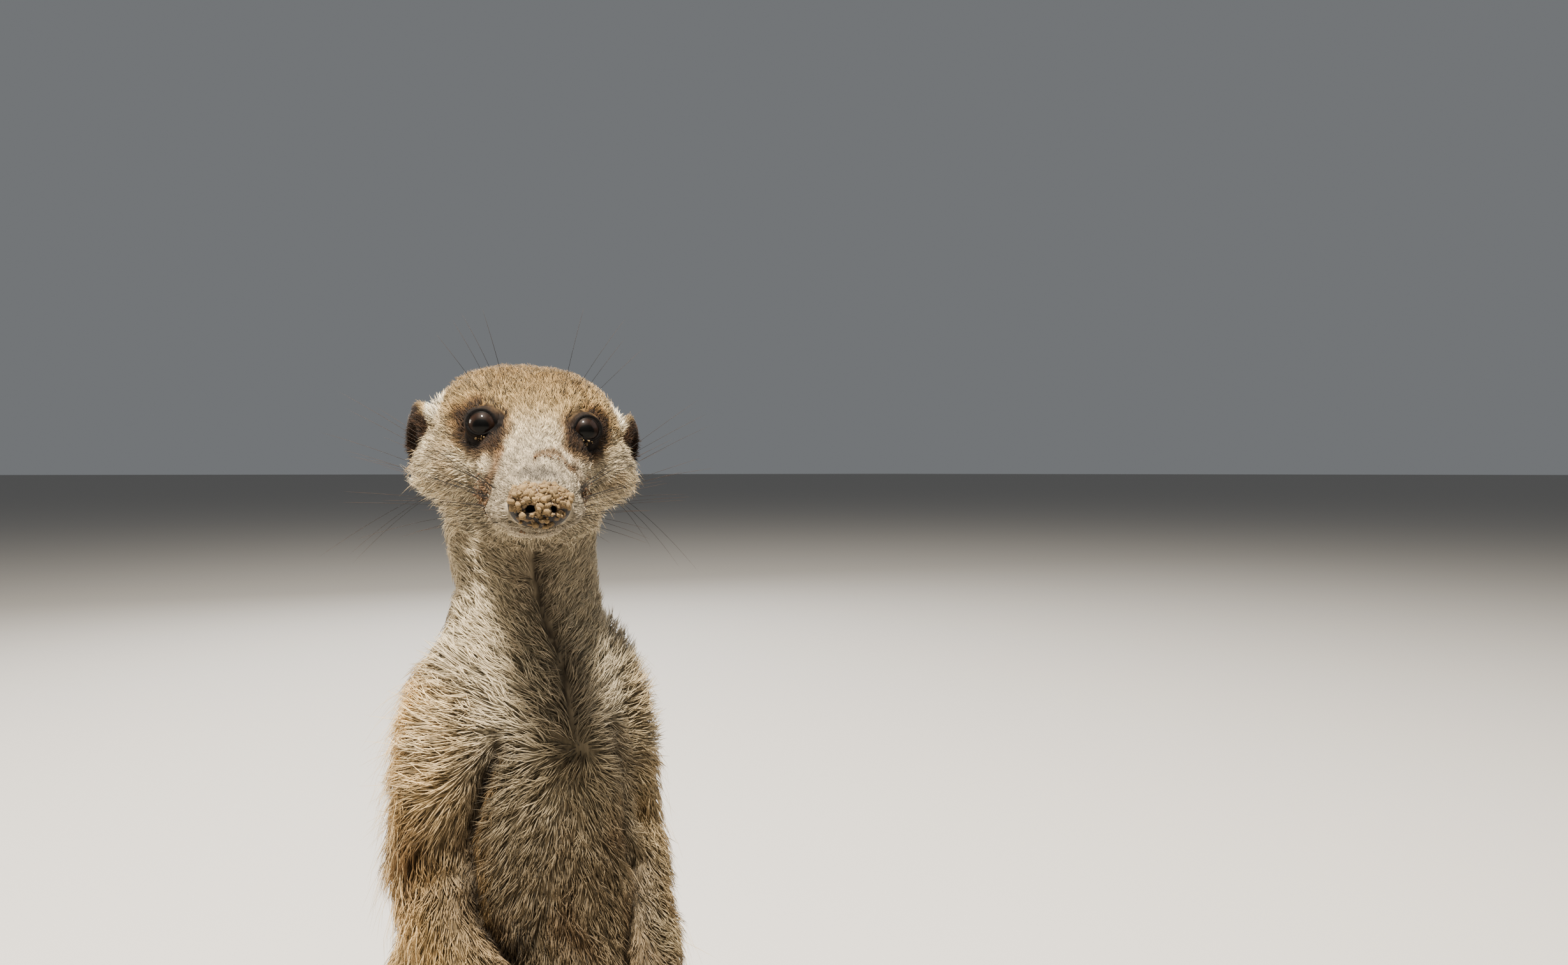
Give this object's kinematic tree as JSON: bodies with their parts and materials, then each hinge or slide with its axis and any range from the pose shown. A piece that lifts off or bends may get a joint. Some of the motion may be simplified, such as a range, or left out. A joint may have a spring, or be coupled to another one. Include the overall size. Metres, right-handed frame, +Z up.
{
  "type": "meerkat",
  "caption": "Upright meerkat standing sentry on its hind feet, propped by its tail, head turned to one side and forepaws hanging.",
  "frame": {"origin": "on the floor, at the middle of the whole animal's base, the tail included", "axes": "+Z is up, the chest faces -Y, and the animal's left side is +X"},
  "size_m": [0.096, 0.2336, 0.3008],
  "materials": {
    "coat": "short grizzled tan fur, matt",
    "dark_coat": "short dark brown fur, matt",
    "eye": "wet dark brown eye",
    "nose_leather": "dark grained nose skin",
    "claw_horn": "dark horn, satin"
  },
  "bodies": {
    "root": {"ear_left": "dark_coat", "ear_right": "dark_coat", "eye_left": "eye", "eye_right": "eye", "forearm_left": "coat", "forearm_right": "coat", "foreclaw_left_1": "claw_horn", "foreclaw_left_2": "claw_horn", "foreclaw_left_3": "claw_horn", "foreclaw_left_4": "claw_horn", "foreclaw_right_1": "claw_horn", "foreclaw_right_2": "claw_horn", "foreclaw_right_3": "claw_horn", "foreclaw_right_4": "claw_horn", "forepaw_left": "coat", "forepaw_right": "coat", "head": "coat", "hind_claw_left_1": "claw_horn", "hind_claw_left_2": "claw_horn", "hind_claw_left_3": "claw_horn", "hind_claw_left_4": "claw_horn", "hind_claw_right_1": "claw_horn", "hind_claw_right_2": "claw_horn", "hind_claw_right_3": "claw_horn", "hind_claw_right_4": "claw_horn", "hind_foot_left": "coat", "hind_foot_right": "coat", "lower_jaw": "coat", "neck": "coat", "nose": "nose_leather", "shank_left": "coat", "shank_right": "coat", "tail_middle": "coat", "tail_root": "coat", "tail_tip": "dark_coat", "thigh_left": "coat", "thigh_right": "coat", "trunk": "coat", "upper_arm_left": "coat", "upper_arm_right": "coat"}
  },
  "joints": []
}
